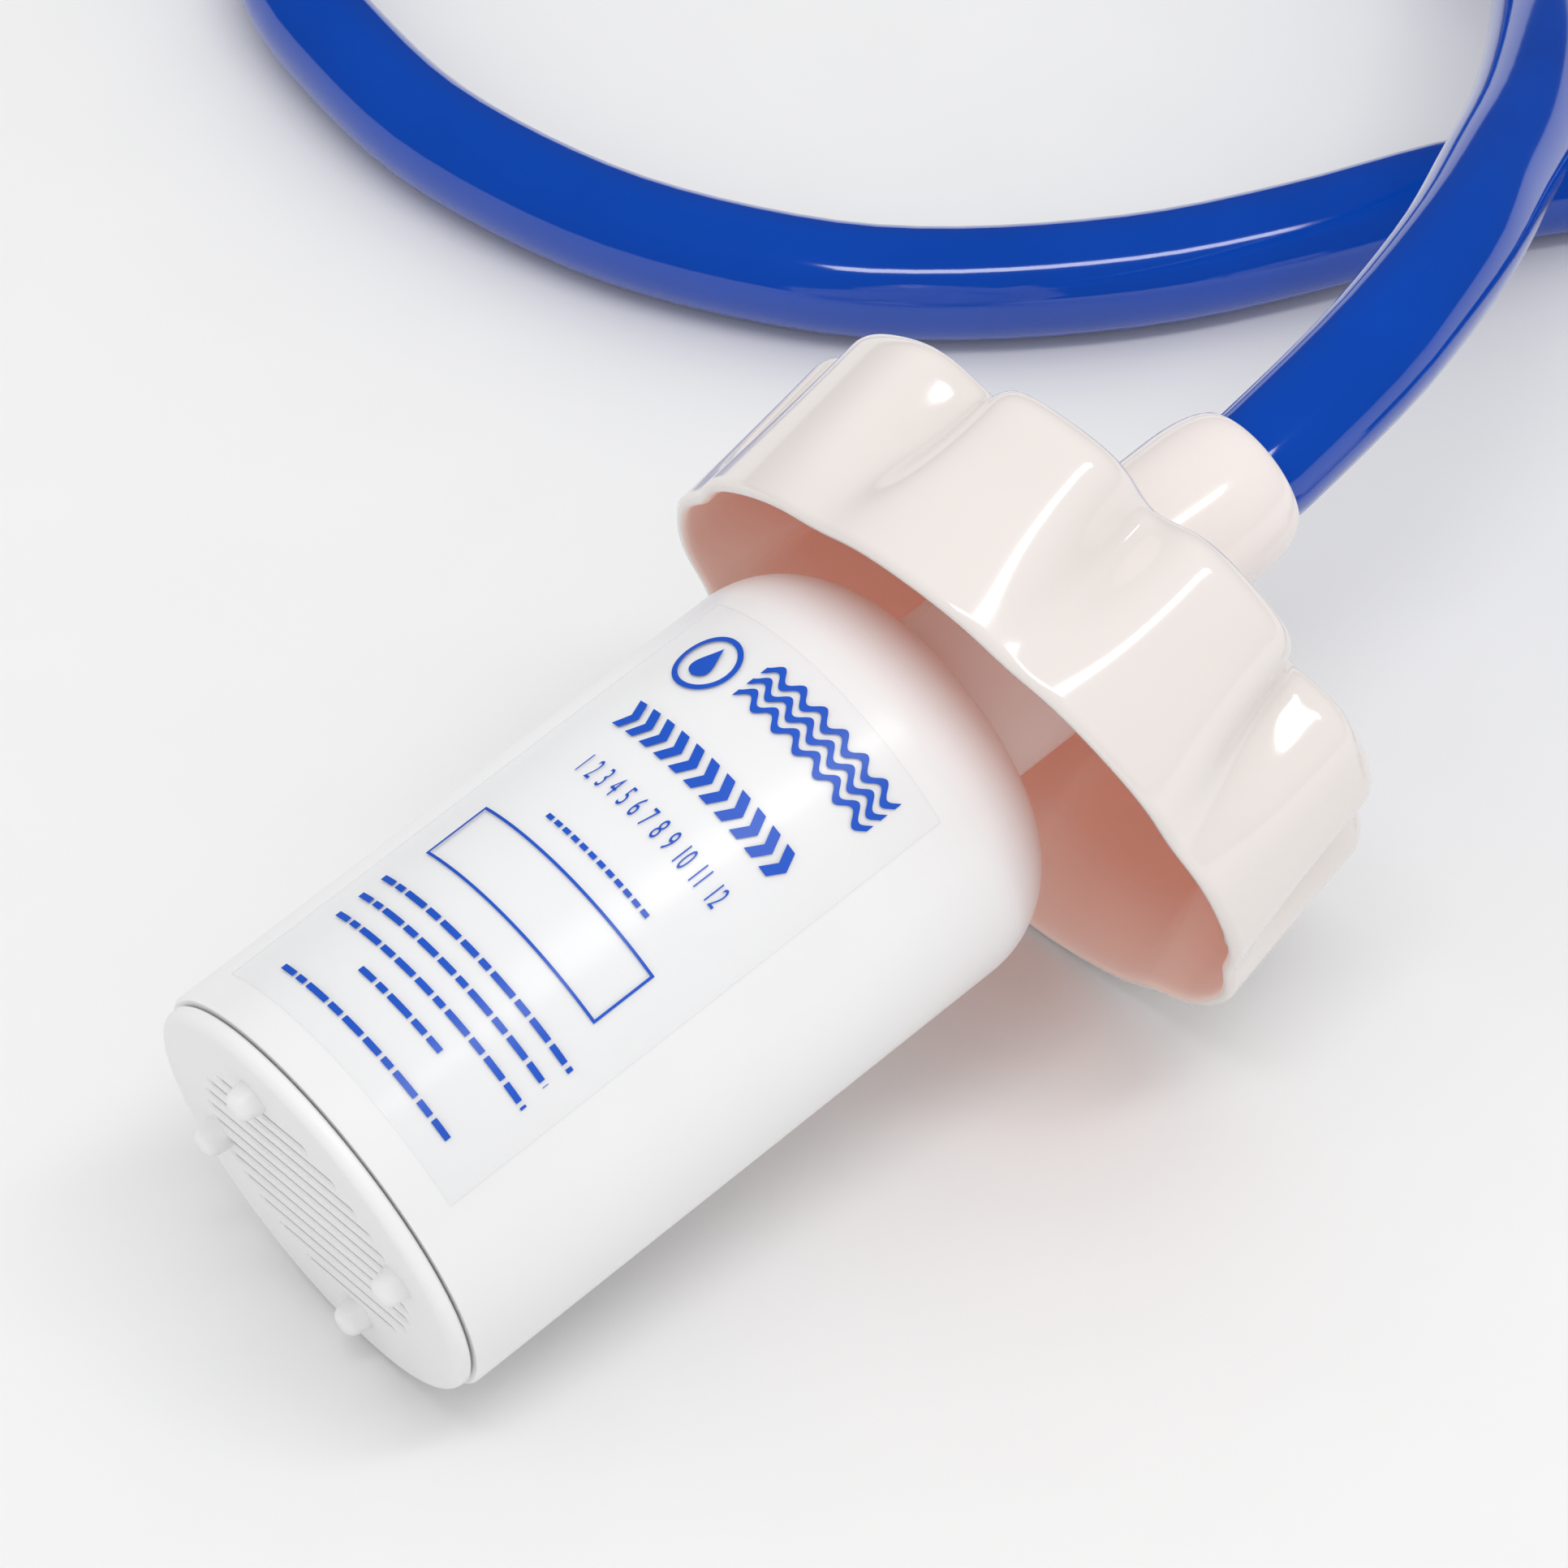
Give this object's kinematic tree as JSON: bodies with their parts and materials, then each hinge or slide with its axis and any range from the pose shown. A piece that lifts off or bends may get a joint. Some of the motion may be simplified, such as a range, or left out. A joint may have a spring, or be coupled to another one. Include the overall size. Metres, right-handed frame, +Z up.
{
  "type": "pump water filter",
  "caption": "Inline carbon water filter: white slotted cartridge plugged onto a hose spigot, with a loose scalloped grip cap, a rounded boss and a looped blue hose to a push-in connector.",
  "frame": {"origin": "on the floor, under the middle of the bounding box of the filter without its hose and connector", "axes": "+X along the cartridge from the slotted end to the hose, +Z up, +Y towards the hose's loop"},
  "size_m": [0.3234, 0.346, 0.0938],
  "materials": {
    "moulded_white": "satin moulded",
    "grip_white": "glossy, slightly translucent",
    "neck_white": "smooth moulded",
    "clear_film": "clear film",
    "hose_blue": "glossy extruded",
    "black_rubber": "matte",
    "felt_white": "felt",
    "carbon_black": "granular",
    "screen_nylon": "woven mesh",
    "spring_steel": "bright",
    "collet_grey": "smooth moulded"
  },
  "bodies": {
    "cartridge": {"cartridge_shell": "moulded_white", "grille_cap": "moulded_white", "grille_seal": "black_rubber", "grille_screen": "screen_nylon", "grille_pad": "felt_white", "carbon_bed": "carbon_black", "neck_pad": "felt_white", "support_disc": "moulded_white", "neck_socket": "neck_white", "label_film": "clear_film"},
    "plug": {"hose_spigot": "neck_white", "front_o_ring": "black_rubber", "rear_o_ring": "black_rubber", "boss_snap_ring": "spring_steel", "hose_boss": "grip_white", "hose_collet": "collet_grey", "hose": "hose_blue", "pump_connector": "moulded_white", "connector_seal": "black_rubber"},
    "swivel": {"thrust_washer": "collet_grey"},
    "cap": {"grip_cap": "grip_white"}
  },
  "joints": [
    {"name": "plug_pull", "type": "slide", "parent": "cartridge", "child": "plug", "axis": [0.9805, 0, 0.1964], "range_m": [0, 0.03]},
    {"name": "cap_rock", "type": "hinge", "parent": "plug", "child": "swivel", "pos_m": [0.0518, 0.0023, 0.05213], "axis": [0, 0, 1], "range_deg": [-11.8, 0]},
    {"name": "cap_turn", "type": "hinge", "parent": "swivel", "child": "cap", "pos_m": [0.0518, 0.0023, 0.05213], "axis": [0.9382, 0.097, 0.3322], "continuous": true}
  ]
}
